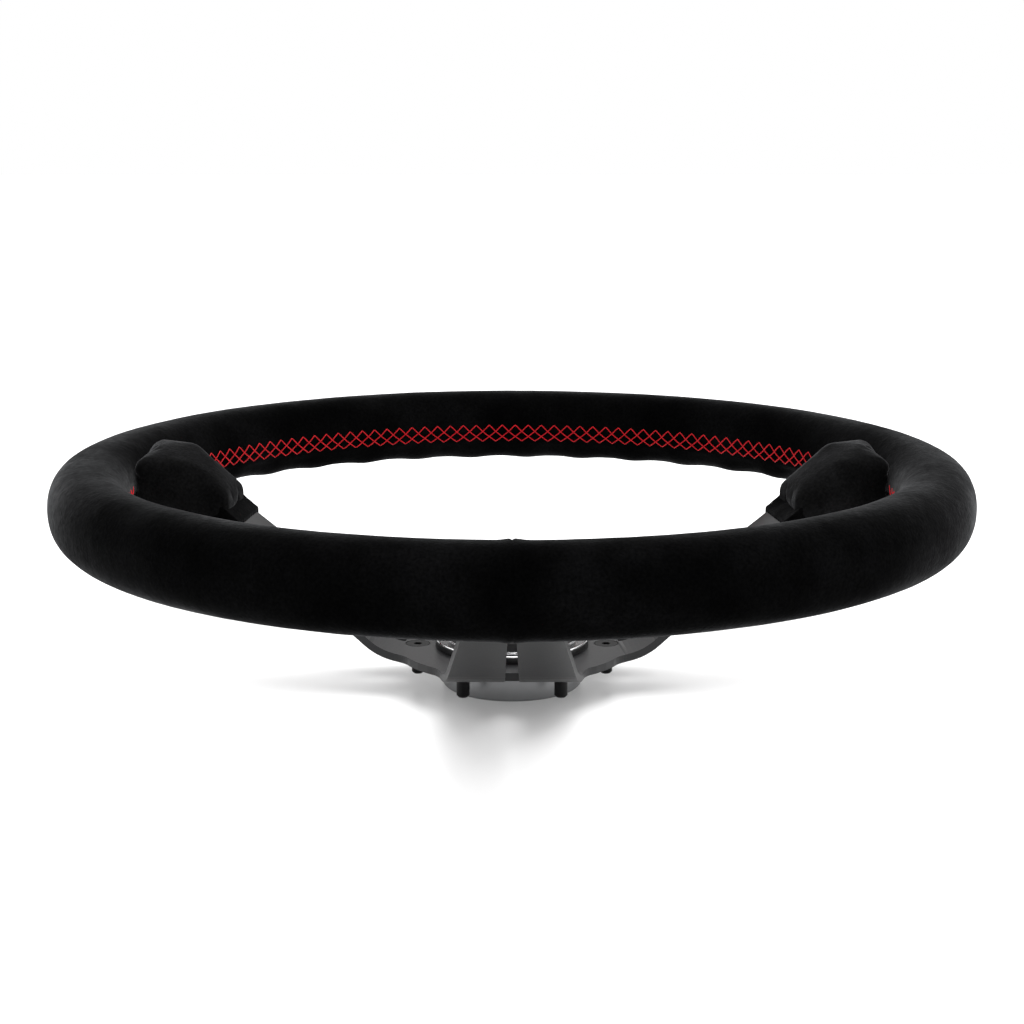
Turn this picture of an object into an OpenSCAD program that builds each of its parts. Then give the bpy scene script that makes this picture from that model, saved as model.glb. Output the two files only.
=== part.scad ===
// Deep-dish steering wheel on a sliding-collar quick release.
// The wheel lies face up: the axis is Z, the driver is above, 6 o'clock is at -Y.
// The origin is on the axis, in the plane of the spindle socket's mouth.

/* [Rim] */
// Outer diameter of the covered rim
rim_d = 350; // [290:1:420]
// Width of the grip, measured across the ring
grip_w = 29; // [24:0.5:35]
// Height of the grip, measured along the axis
grip_h = 31; // [25:0.5:38]
// Height of the rim's centre above the socket's mouth
rim_z = 77.5; // [62:0.5:95]
// Diameter of the steel tube inside the rim
core_d = 12; // [10:0.5:14.5]
// Wall of the steel tube
core_wall = 1.5; // [1:0.1:2.5]
// Thickness of the suede cover
cover_t = 1.2; // [0.9:0.1:1.6]
// Height of the cross-stitched seam
seam_h = 7; // [5:0.5:9]

/* [Thumb rests] */
// Length of a thumb rest along its spoke, from the rim inwards
rest_len = 38; // [31:1:46]
// How far a thumb rest stands out beyond each side of its spoke
rest_side = 2; // [1.6:0.1:4]
// Length of a thumb rest's flat top, measured from the rim inwards
rest_top_len = 17; // [12:1:22]
// How far a thumb rest's top falls towards 6 o'clock
rest_fall = 3; // [0:0.5:5]
// Radius of a thumb rest's rounded edges
rest_round = 5.5; // [4:0.5:7]

/* [Spoke frame] */
// How far the side spokes are turned towards 12 o'clock, in degrees
spoke_turn = 7; // [0:0.5:12]
// Thickness of the aluminium plate
plate_t = 3; // [2.5:0.1:4]
// Width of the flat plate outside the screw circle
hub_rim = 8; // [6:0.5:12]
// Width of the lower spoke at its root
root_w = 51; // [42:1:60]
// Width of a side spoke at its root
side_root_w = 42; // [35:1:52]
// Width of a spoke at its waist
waist_w = 27; // [22:1:33]
// How much wider a spoke gets where it enters the rim
flare_w = 1; // [0:0.5:6]
// Radius of the bend from the hub into a spoke
root_bend = 25; // [20:1:30]
// Radius of the bend from a spoke into the rim
rim_bend = 16; // [12:1:20]
// Width of the slot in a spoke at its wide end
slot_w = 6; // [5:0.5:8]

/* [Screws] */
// Thread diameter of the screws in the plate
screw_d = 5; // [4:0.5:6]
// Overall length of the screws in the plate
screw_len = 12; // [8:1:15]
// Width of bare plate between the housing and the screw heads
head_gap = 2.35; // [1:0.05:5]
// Thread diameter of the small screws that hold the housing
clamp_d = 3; // [2.5:0.5:3.5]

/* [Quick release] */
// Hexagon across flats that drives the wheel
hex_af = 25; // [20:0.5:30]
// Wall of the spindle socket outside its pilot bore
socket_wall = 2; // [1.6:0.1:3]
// Length of the round pilot bore at the mouth of the socket
pilot_len = 4; // [3:0.5:4.8]
// How far a locking ball stands into the socket when it locks
ball_bite = 1; // [0.8:0.1:1.3]
// Thickness of the release collar outside the balls' recess
collar_wall = 9.2; // [7.5:0.1:11.5]
// How far the release collar slides
collar_travel = 2.4; // [2:0.1:3]
// Height of the collar's plain bore above its cone
collar_land = 1.35; // [1:0.05:3]
// Width of the housing's flange outside its boss
housing_w = 10.3; // [8.5:0.1:12.5]

/* [Horn] */
// Width of the polished ring round the horn
trim_w = 5; // [4:0.5:6.5]
// Visible width of the horn bezel
bezel_w = 4; // [3.3:0.1:5]
// How far the horn cap is pressed
cap_travel = 1.6; // [1.2:0.1:2]
// Rise of the horn cap's dome
dome_h = 3; // [1.5:0.1:4]

/* [Hidden] */
$fn = 96;

// Clearances
slide_gap = 0.08;     // sliding fits of the collar and the cap
screw_gap = 0.25;     // radial room round a screw
trim_gap = 0.05;      // between soft pieces and what they sit on
travel_gap = 1.1;     // between the released collar and the plate
cut = 1;              // how far a cutting shape runs past the face it opens

// Screws
SCREW_ANGLES = [for (i = [0:5]) i * 60];
head_ratio = 1.86;                  // a countersunk head's width over its thread
head_rim = 0.2;
head_r = screw_d * head_ratio / 2;

// Socket, balls and collar, from the hexagon outwards
pilot_r = hex_af * 0.58;            // just clears the hexagon's corners
socket_r = pilot_r + socket_wall;
ball_r = (socket_r - hex_af / 2 + ball_bite) / 2;    // a locked ball ends at the socket's outer face
ball_hole_r = ball_r + slide_gap;
ball_rho = socket_r - ball_r;
ball_out = ball_bite + 0.2;
ball_ratio = ball_out / collar_travel;
land_r = socket_r + slide_gap;
recess_r = socket_r + ball_out + 0.3;
collar_r = recess_r + collar_wall;
collar_low = 0.3;                   // the socket carries the weight, the collar hangs clear
collar_chamfer = 0.8;
ring_groove_z = 0.7;
ring_t = 1;
ring_depth = 0.9;
ring_reach = 1.3;
lip_low = ring_groove_z + ring_t + 0.15;
lip_top = lip_low + 1.2;
ball_sag = sqrt(ball_r * ball_r - pow(land_r - ball_rho - ball_out, 2));
ball_z = lip_top + collar_travel + ball_sag + 0.1;
cone_gap = 0.04;
cone_top = ball_z + ((ball_r + cone_gap) * norm([1, ball_ratio]) - (land_r - ball_rho)) / ball_ratio;
collar_top = cone_top + collar_land;
spring_wire = 1.4;
spring_room = 2.6;                  // width of the spring's pocket in the collar
spring_out_r = collar_r - 1.8;
spring_in_r = spring_out_r - spring_room;
spring_low = 3.4;

// Plate and housing
plate_z = collar_top + collar_travel + travel_gap;
plate_top = plate_z + plate_t;
flange_t = 2.3;
housing_top = plate_top + flange_t;
boss_r = socket_r + 3.2;
centre_hole_r = boss_r + slide_gap;
housing_r = boss_r + housing_w;
clamp_circle = boss_r + housing_r;
clamp_len = flange_t + plate_t - 0.3;
screw_circle = 2 * (housing_r + head_gap + head_r);
hub_r = screw_circle / 2 + hub_rim;

// Rim
ring_r = (rim_d - grip_w) / 2;
inner_r = ring_r - grip_w / 2;
core_r = core_d / 2;
seam_drop = 2;                      // the seam runs this far below the middle of the rim
seam_slit = 0.8;                    // gap between the cover's two sewn edges
thread_t = 0.6;

// Spoke plan, as radii from the axis
bend_start_r = hub_r - 5.7;
flat_r = bend_start_r - 1;          // the hub is flat out to here along each spoke
slot_start_r = screw_circle / 2 + head_r + screw_gap;
flare_start_r = inner_r - 18;
waist_r = flare_start_r - 25;
slot_end_r = waist_r - 15;
slot_tip_w = slot_w * 0.42;
spoke_end_r = ring_r - core_r;
plan_fillet = 10;
slot_round = 0.8;
SIDE_ANGLES = [spoke_turn, 180 - spoke_turn];
SPOKE_ANGLES = concat([-90], SIDE_ANGLES);

// Spoke side profile: two bends joined by a straight run that touches both
rim_bend_r = inner_r - 15.8;
outer_z = rim_z - plate_t / 2;
root_c = [bend_start_r, plate_z + root_bend];
rim_c = [rim_bend_r, outer_z - rim_bend];
bend_span = norm(rim_c - root_c);
rise = atan2(rim_c[1] - root_c[1], rim_c[0] - root_c[0]) + asin((root_bend + rim_bend) / bend_span);
bend_steps = 8;

// Thumb rests and boots
boot_t = 1.3;
rest_tip_w = waist_w + 2 * rest_side;
rest_w = rest_tip_w + flare_w;
rest_outer_r = inner_r + 1;
rest_tip_r = rest_outer_r - rest_len;
boot_tip_r = rest_tip_r - 4.5;
boot_len = 12;
lower_boot_tip_r = inner_r - 9;
sleeve_w = root_w + 2 * boot_t;     // wide enough to take in a whole spoke

// Horn, from the housing upwards
trim_t = 0.8;
trim_edge = 0.3;
trim_groove = 0.5;
trim_lip = 0.4;
bezel_r = housing_r - trim_w;
bezel_wall = 1;
bezel_chamfer = 1.2;
cap_r = bezel_r - bezel_w;
cap_flange_t = 1.2;
contact_t = 0.5;
base_t = 1.2;
base_floor = 0.4;
base_top = housing_top + base_t;
pin_seat_z = housing_top + base_floor;
pin_head_t = 0.5;
pin_r = 1.55;
pin_len = 5;
flange_low = base_top + 0.1 + cap_travel;
lip_z = flange_low + cap_flange_t + trim_gap;
bezel_top = lip_z + 1.4;
flange_r = bezel_r - bezel_wall - 0.4;
bezel_in_r = cap_r + 0.4;
cap_shoulder = bezel_top + 0.8;
cap_wall = 1.6;
roof_z = base_top + contact_t + cap_travel + contact_t;
pocket_r = 7.2;
pocket_roof_z = roof_z + 1.6;
badge_r = cap_r * 0.62;
badge_t = 0.6;
badge_z = cap_shoulder + dome_h - 1.6;
contact_in_r = pocket_r + 2;
horn_wire = 0.8;
horn_coil_r = 5.4;

// A point on a curve that runs along the spoke, a distance off above its lower face.
function root_arc(off) = [for (i = [0:bend_steps]) let (a = rise * i / bend_steps)
  root_c + (root_bend - off) * [sin(a), -cos(a)]];
function rim_arc(off) = [for (i = [bend_steps:-1:0]) let (a = rise * i / bend_steps)
  rim_c + (rim_bend + off) * [-sin(a), cos(a)]];
function spoke_line(off) = concat([[0, plate_z + off]], root_arc(off), rim_arc(off), [[spoke_end_r, outer_z + off]]);
function reversed(list) = [for (i = [len(list) - 1:-1:0]) list[i]];
// Height of the spoke's straight run at radius r, a distance off above its lower face.
function run_z(r, off) = let (p = root_c + (root_bend - off) * [sin(rise), -cos(rise)])
  p[1] + (r - p[0]) * tan(rise);
function spoke_z(r, off) = r < rim_c[0] - (rim_bend + off) * sin(rise) ? run_z(r, off) : outer_z + off;

// The spoke's side profile between two offsets, as a wall of the given width along +X.
module spoke_wall(low, high, width) {
  rotate([90, 0, 0]) linear_extrude(width, center = true)
    polygon(concat(spoke_line(low), reversed(spoke_line(high))));
}

// One spoke in plan along +X, root wide at the hub's edge and grown by extra on each side.
module spoke_plan(root, extra = 0) {
  slope = (root - waist_w) / 2 / (waist_r - hub_r);
  axis_w = root / 2 + slope * hub_r + extra;
  w = waist_w / 2 + extra;
  f = w + flare_w / 2;
  polygon([
    [0, -axis_w], [waist_r, -w], [flare_start_r, -w], [inner_r + 3, -f], [ring_r, -f],
    [ring_r, f], [inner_r + 3, f], [flare_start_r, w], [waist_r, w], [0, axis_w]
  ]);
}

// The tapered slot in a spoke, along +X, with softened corners.
module slot_plan() {
  offset(r = slot_round, $fn = 24) offset(delta = -slot_round)
    polygon([
      [slot_start_r, -slot_w / 2], [slot_end_r, -slot_tip_w / 2],
      [slot_end_r, slot_tip_w / 2], [slot_start_r, slot_w / 2]
    ]);
}

// Outline of the whole frame seen from above.
module frame_plan() {
  difference() {
    offset(r = -plan_fillet, $fn = 48) offset(r = plan_fillet, $fn = 48) {
      circle(hub_r);
      rotate(-90) spoke_plan(root_w);
      for (a = SIDE_ANGLES) rotate(a) spoke_plan(side_root_w);
    }
    for (a = SPOKE_ANGLES) rotate(a) slot_plan();
  }
}

// The room along +X where a spoke rises.
module rising_room() {
  translate([flat_r, -flat_r, 0]) cube([rim_d, 2 * flat_r, 2 * rim_z]);
}

// One spoke, bent up from the hub to the rim.
module bent_spoke(angle) {
  intersection() {
    linear_extrude(rim_z + plate_t) frame_plan();
    rotate(angle) rising_room();
    rotate(angle) spoke_wall(0, plate_t, 2 * bend_start_r);
    cylinder(h = 2 * rim_z, r = spoke_end_r);
  }
}

module spoke_frame() {
  color("dimgray") difference() {
    union() {
      difference() {
        translate([0, 0, plate_z]) linear_extrude(plate_t) frame_plan();
        for (a = SPOKE_ANGLES) rotate(a) rising_room();
      }
      for (a = SPOKE_ANGLES) bent_spoke(a);
    }
    translate([0, 0, plate_z - cut]) cylinder(h = plate_t + 2 * cut, r = centre_hole_r);
    screw_rooms(screw_d, screw_circle, screw_len, plate_top);
    screw_rooms(clamp_d, clamp_circle, clamp_len, housing_top);
  }
}

// Cross-section of the grip, or of a layer inside it.
module grip_section(inset = 0) {
  r = grip_w / 2 - inset;
  rise_h = max((grip_h - grip_w) / 2, 0.05);
  for (s = [-1, 1]) translate([ring_r, s * rise_h]) circle(r);
  translate([ring_r - r, -rise_h]) square([2 * r, 2 * rise_h]);
}

// The solid ring of the grip, used to trim what butts against it.
module grip_ring(inset = 0) {
  translate([0, 0, rim_z]) rotate_extrude() grip_section(inset);
}

// Room in the rim for the flat ends of the spokes, open to the tube's own hole.
module spoke_pockets(gap) {
  end_w = waist_w + flare_w + 2 * gap;
  from_r = inner_r - grip_w / 4;
  for (a = SPOKE_ANGLES) rotate(a)
    translate([from_r, -end_w / 2, outer_z - gap]) cube([ring_r - from_r, end_w, plate_t + 2 * gap]);
}

module rim_core() {
  color("gray") translate([0, 0, rim_z]) rotate_extrude() translate([ring_r, 0]) difference() {
    circle(core_r);
    circle(core_r - core_wall);
  }
}

module rim_foam() {
  color("black") difference() {
    translate([0, 0, rim_z]) rotate_extrude() difference() {
      grip_section(cover_t);
      translate([ring_r, 0]) circle(core_r);
    }
    spoke_pockets(trim_gap);
  }
}

module rim_cover() {
  color("black") difference() {
    translate([0, 0, rim_z]) rotate_extrude() difference() {
      grip_section();
      grip_section(cover_t);
      translate([inner_r - cut, -seam_drop - seam_slit / 2]) square([2 * cover_t + cut, seam_slit]);
    }
    spoke_pockets(trim_gap);
  }
}

// A band of thread that lies on the cover over the seam, left out where a spoke or a rest covers it.
module seam_stitching() {
  color("red") difference() {
    translate([0, 0, rim_z]) rotate_extrude() difference() {
      intersection() {
        grip_section(-thread_t);
        translate([inner_r - thread_t - cut, -seam_drop - seam_h / 2]) square([grip_w / 4, seam_h]);
      }
      grip_section(-trim_gap);
    }
    for (a = SPOKE_ANGLES) rotate(a) translate([0, -rest_w / 2 - rest_side, 0])
      cube([ring_r, rest_w + 2 * rest_side, 2 * rim_z]);
  }
}

// A sleeve round a spoke with the given root width, between two radii, boot_t thick.
module boot(root, from_r, to_r) {
  difference() {
    intersection() {
      spoke_wall(-boot_t, plate_t + boot_t, sleeve_w);
      linear_extrude(2 * rim_z) spoke_plan(root, boot_t);
      translate([from_r, -sleeve_w / 2, 0]) cube([to_r - from_r, sleeve_w, 2 * rim_z]);
    }
    intersection() {
      spoke_wall(-trim_gap, plate_t + trim_gap, sleeve_w);
      linear_extrude(2 * rim_z) offset(delta = trim_gap) spoke_plan(root);
    }
  }
}

// A plump pad that wraps a side spoke, built along +X with 12 o'clock at +Y.
module rest_pad() {
  tip_round = rest_round - 1;
  tip_rise = 1.5;                   // lifts the tip off the spoke's middle
  belly = 6;                        // how far the pad hangs below the spoke at the rim
  outer_x = rest_outer_r - rest_round;
  ridge_x = rest_outer_r - rest_top_len;
  tip_x = rest_tip_r + tip_round;
  wide = rest_w / 2 - rest_round;
  slim = rest_tip_w / 2 - tip_round;
  top_z = rim_z + grip_h / 2 - rest_round - 0.5;
  hull() {
    for (s = [-1, 1]) {
      fall = rest_fall * (1 - s) / 2;
      translate([outer_x, s * wide, top_z - fall]) sphere(rest_round, $fn = 28);
      translate([ridge_x, s * (wide - 1), top_z - fall - 1]) sphere(rest_round, $fn = 28);
      translate([outer_x, s * wide, outer_z - belly]) sphere(tip_round, $fn = 28);
      translate([tip_x, s * slim, spoke_z(tip_x, plate_t) + tip_rise]) sphere(tip_round, $fn = 28);
      translate([tip_x, s * slim, spoke_z(tip_x, 0) + tip_rise]) sphere(tip_round, $fn = 28);
    }
  }
}

module thumb_rest() {
  rotate(spoke_turn) difference() {
    rest_pad();
    grip_ring(-trim_gap);
    intersection() {
      spoke_wall(-boot_t - trim_gap, plate_t + boot_t + trim_gap, sleeve_w);
      linear_extrude(2 * rim_z) offset(delta = trim_gap) spoke_plan(side_root_w, boot_t);
    }
  }
}

module right_thumb_rest() { color("black") thumb_rest(); }
module left_thumb_rest() { color("black") mirror([1, 0, 0]) thumb_rest(); }
module side_boot() { rotate(spoke_turn) boot(side_root_w, boot_tip_r, boot_tip_r + boot_len); }
module right_spoke_boot() { color("black") side_boot(); }
module left_spoke_boot() { color("black") mirror([1, 0, 0]) side_boot(); }
module lower_spoke_boot() {
  color("black") rotate(-90) difference() {
    boot(root_w, lower_boot_tip_r, inner_r + 3);
    grip_ring(-trim_gap);
  }
}

// A countersunk screw of thread d with its flat head at z = 0 and its shank pointing down.
module countersunk_screw(d, len) {
  r = d * head_ratio / 2;
  tip = d * 0.16;
  key_af = d * 0.6;
  key_depth = d * 0.4;
  difference() {
    rotate_extrude($fn = 48) polygon([
      [0, -len], [d / 2 - tip, -len], [d / 2, -len + tip], [d / 2, d / 2 - r - head_rim],
      [r, -head_rim], [r, 0], [0, 0]
    ]);
    translate([0, 0, -key_depth]) cylinder(h = key_depth + cut, r = key_af / 2 / cos(30), $fn = 6);
  }
}

// Room for six countersunk screws of thread d, with their heads at height z.
module screw_rooms(d, circle_d, len, z) {
  hole_r = d / 2 + screw_gap;
  r = d * head_ratio / 2 + screw_gap;
  for (a = SCREW_ANGLES) rotate(a) translate([circle_d / 2, 0, z]) rotate_extrude($fn = 48) polygon([
    [0, -len - cut], [hole_r, -len - cut], [hole_r, hole_r - r - head_rim], [r, -head_rim], [r, cut], [0, cut]
  ]);
}

module wheel_screws() {
  color("black") for (a = SCREW_ANGLES) rotate(a)
    translate([screw_circle / 2, 0, plate_top]) countersunk_screw(screw_d, screw_len);
}

module housing_screws() {
  color("black") for (a = SCREW_ANGLES) rotate(a)
    translate([clamp_circle / 2, 0, housing_top]) countersunk_screw(clamp_d, clamp_len);
}

// Flanged disc on the plate, whose boss fills the centre hole and holds the socket.
module release_housing() {
  color("black") difference() {
    union() {
      translate([0, 0, plate_top]) cylinder(h = flange_t, r = housing_r);
      translate([0, 0, plate_z]) cylinder(h = plate_t + flange_t / 2, r = boss_r);
    }
    translate([0, 0, plate_z - cut]) cylinder(h = housing_top, r = socket_r);
    screw_rooms(clamp_d, clamp_circle, clamp_len, housing_top);
  }
}

// Steel tube with the hexagon, the ball holes and the groove for the snap ring.
module spindle_socket() {
  color("silver") difference() {
    cylinder(h = housing_top, r = socket_r);
    translate([0, 0, -cut]) cylinder(h = pilot_len + cut, r = pilot_r);
    rotate(30) translate([0, 0, -cut]) cylinder(h = 2 * housing_top, r = hex_af / 2 / cos(30), $fn = 6);
    for (a = SCREW_ANGLES) rotate(a) translate([0, 0, ball_z]) rotate([0, 90, 0])
      cylinder(h = socket_r + cut, r = ball_hole_r, $fn = 48);
    translate([0, 0, ring_groove_z]) difference() {
      cylinder(h = ring_t, r = socket_r + cut);
      translate([0, 0, -cut]) cylinder(h = ring_t + 2 * cut, r = socket_r - ring_depth);
    }
  }
}

// Sleeve that holds the balls in; pulled up towards the wheel it lets them out.
module release_collar() {
  ring_room_r = socket_r + ring_reach + 0.5;
  color("slategray") rotate_extrude() polygon([
    [ring_room_r, collar_low], [collar_r - collar_chamfer, collar_low], [collar_r, collar_low + collar_chamfer],
    [collar_r, collar_top - collar_chamfer], [collar_r - collar_chamfer, collar_top],
    [spring_out_r, collar_top], [spring_out_r, spring_low], [spring_in_r, spring_low],
    [spring_in_r, collar_top], [land_r, collar_top], [land_r, cone_top],
    [recess_r, cone_top - (recess_r - land_r) / ball_ratio], [recess_r, lip_top],
    [land_r, lip_top], [land_r, lip_low], [ring_room_r, lip_low]
  ]);
}

module snap_ring() {
  gap_w = 7;
  outer_r = socket_r + ring_reach;
  color("dimgray") translate([0, 0, ring_groove_z + trim_gap]) difference() {
    cylinder(h = ring_t - 2 * trim_gap, r = outer_r);
    translate([0, 0, -cut]) cylinder(h = ring_t + 2 * cut, r = socket_r - ring_depth + trim_gap);
    translate([0, -gap_w / 2, -cut]) cube([outer_r + cut, gap_w, ring_t + 2 * cut]);
  }
}

module locking_ball(i) {
  color("silver") rotate(SCREW_ANGLES[i]) translate([ball_rho, 0, ball_z]) sphere(ball_r);
}

// A coil spring standing at z = 0, with closed ends.
module coil_spring(coil_r, wire, height, turns) {
  sides = 8;
  steps = 20;
  rings = turns * steps;
  closed = 0.75 * steps;
  function climb(i) = min(max((i - closed) / (rings - 2 * closed), 0), 1);
  function lift(i) = wire / 2 + min(i, closed) / closed * wire * 0.15 +
    climb(i) * (height - wire * 1.3) + max(i - rings + closed, 0) / closed * wire * 0.15;
  points = [for (i = [0:rings], j = [0:sides - 1]) let (a = 360 * i / steps, b = 360 * j / sides)
    [(coil_r + wire / 2 * cos(b)) * cos(a), (coil_r + wire / 2 * cos(b)) * sin(a), lift(i) + wire / 2 * sin(b)]];
  walls = [for (i = [0:rings - 1], j = [0:sides - 1]) let (k = (j + 1) % sides)
    [i * sides + j, i * sides + k, (i + 1) * sides + k, (i + 1) * sides + j]];
  polyhedron(concat(points), concat([[for (j = [sides - 1:-1:0]) j]], walls,
    [[for (j = [0:sides - 1]) rings * sides + j]]));
}

module collar_spring() {
  color("silver") translate([0, 0, spring_low + trim_gap])
    coil_spring((spring_in_r + spring_out_r) / 2, spring_wire, plate_z - spring_low - 2 * trim_gap, 3);
}

// Polished ring that lies on the housing round the bezel, with a groove and a thin inner lip.
module trim_ring() {
  lip_r = bezel_r + trim_gap;
  groove_r = lip_r + trim_lip + 0.1;
  groove_top_r = groove_r + trim_groove;
  color("silver") translate([0, 0, housing_top]) rotate_extrude() polygon([
    [lip_r, 0], [housing_r, 0], [housing_r, trim_t - trim_edge], [housing_r - trim_edge, trim_t],
    [groove_top_r, trim_t], [groove_top_r, trim_t - trim_groove], [groove_r, trim_t - trim_groove],
    [lip_r + trim_lip, trim_t + trim_lip], [lip_r, trim_t + trim_lip]
  ]);
}

// Ring that surrounds the horn cap and keeps its flange in.
module horn_bezel() {
  color("gray") rotate_extrude() polygon([
    [bezel_r - bezel_wall, housing_top], [bezel_r, housing_top], [bezel_r, bezel_top - bezel_chamfer],
    [bezel_r - bezel_chamfer, bezel_top], [bezel_in_r, bezel_top], [bezel_in_r, lip_z],
    [bezel_r - bezel_wall, lip_z]
  ]);
}

// Insulating disc with the spring pocket.
module horn_base() {
  color("black") difference() {
    translate([0, 0, housing_top]) cylinder(h = base_t, r = bezel_r - bezel_wall - trim_gap);
    translate([0, 0, housing_top - cut]) cylinder(h = base_t + cut, r = pin_r + trim_gap, $fn = 32);
    translate([0, 0, pin_seat_z]) cylinder(h = base_t, r = pocket_r);
  }
}

module contact_ring() {
  color("goldenrod") translate([0, 0, base_top]) difference() {
    cylinder(h = contact_t, r = cap_r - cap_wall - 4.4);
    translate([0, 0, -cut]) cylinder(h = contact_t + 2 * cut, r = contact_in_r);
  }
}

// Brass pin that reaches into the hexagon and meets the column's contact.
module contact_pin() {
  color("goldenrod") translate([0, 0, pin_seat_z]) {
    translate([0, 0, -pin_len]) cylinder(h = pin_len, r = pin_r, $fn = 32);
    cylinder(h = pin_head_t, r = 2 * pin_r, $fn = 32);
  }
}

// Domed cap with a flange that the bezel keeps in.
module horn_cap() {
  dome_r = (cap_r * cap_r + dome_h * dome_h) / (2 * dome_h);
  steps = 12;
  crown_a = asin(cap_r / dome_r);
  dome = [for (i = [0:steps]) let (a = crown_a * (1 - i / steps))
    [dome_r * sin(a), cap_shoulder + dome_h - dome_r * (1 - cos(a))]];
  color("black") difference() {
    rotate_extrude() polygon(concat(
      [[0, roof_z], [cap_r - cap_wall, roof_z], [cap_r - cap_wall, flange_low], [flange_r, flange_low],
        [flange_r, flange_low + cap_flange_t], [cap_r, flange_low + cap_flange_t]], dome));
    translate([0, 0, roof_z - cut]) cylinder(h = pocket_roof_z - roof_z + cut, r = pocket_r);
    translate([0, 0, badge_z]) cylinder(h = dome_h + cut, r = badge_r + trim_gap);
  }
}

module contact_plate() {
  color("goldenrod") translate([0, 0, roof_z - contact_t]) difference() {
    cylinder(h = contact_t, r = cap_r - cap_wall - 3.4);
    translate([0, 0, -cut]) cylinder(h = contact_t + 2 * cut, r = contact_in_r - 1);
  }
}

module horn_spring() {
  low = pin_seat_z + pin_head_t + trim_gap;
  color("silver") translate([0, 0, low])
    coil_spring(horn_coil_r, horn_wire, pocket_roof_z - low - trim_gap, 3.5);
}

module cap_badge() {
  color("silver") translate([0, 0, badge_z]) cylinder(h = badge_t, r = badge_r);
}

spoke_frame();
rim_core();
rim_foam();
rim_cover();
seam_stitching();
left_thumb_rest();
right_thumb_rest();
left_spoke_boot();
right_spoke_boot();
lower_spoke_boot();
wheel_screws();
release_housing();
housing_screws();
spindle_socket();
release_collar();
collar_spring();
snap_ring();
for (i = [0:5]) locking_ball(i);
trim_ring();
horn_bezel();
horn_base();
contact_ring();
contact_pin();
horn_cap();
contact_plate();
horn_spring();
cap_badge();
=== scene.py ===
"""A suede deep-dish steering wheel on a sliding-collar quick release.

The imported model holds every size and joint. This script dresses it: it wraps the rim, sews the seam,
pads the thumb rests and gives each part its finish. Lengths are in metres, +Z points to the driver,
and 6 o'clock is at -Y.
"""

from __future__ import annotations

import logging
import math
from collections.abc import Callable, Iterable, Sequence
from dataclasses import dataclass, field
from enum import Enum
from typing import ClassVar

import bmesh
import bpy
import numpy as np
from mathutils import Euler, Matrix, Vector, noise

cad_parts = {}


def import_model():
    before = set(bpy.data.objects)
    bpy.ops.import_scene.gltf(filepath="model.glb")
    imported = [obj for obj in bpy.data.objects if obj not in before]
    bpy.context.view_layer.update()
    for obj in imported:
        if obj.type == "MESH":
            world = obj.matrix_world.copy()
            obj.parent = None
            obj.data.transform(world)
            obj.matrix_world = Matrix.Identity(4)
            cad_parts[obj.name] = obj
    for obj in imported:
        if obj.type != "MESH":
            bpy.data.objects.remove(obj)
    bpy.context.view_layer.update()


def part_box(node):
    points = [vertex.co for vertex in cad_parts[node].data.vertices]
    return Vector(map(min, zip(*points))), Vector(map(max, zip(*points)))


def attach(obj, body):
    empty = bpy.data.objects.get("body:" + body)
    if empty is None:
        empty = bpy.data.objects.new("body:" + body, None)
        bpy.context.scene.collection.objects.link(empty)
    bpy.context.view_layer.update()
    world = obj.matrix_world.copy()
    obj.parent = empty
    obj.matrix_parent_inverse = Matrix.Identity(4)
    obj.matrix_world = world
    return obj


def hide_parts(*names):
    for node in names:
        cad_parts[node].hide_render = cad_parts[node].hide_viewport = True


LOG = logging.getLogger("wheel")
MM = 0.001
SAME_PLACE = 0.001 * MM  # vertices nearer than this are one
FLAT_ANGLE = math.radians(0.5)  # faces that meet at less than this are one
SHARP_ANGLE = math.radians(32)  # edges sharper than this are broken
Colour = tuple[float, float, float]
Place = tuple[float, float, float]


# ---------------------------------------------------------------- finishes


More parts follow.
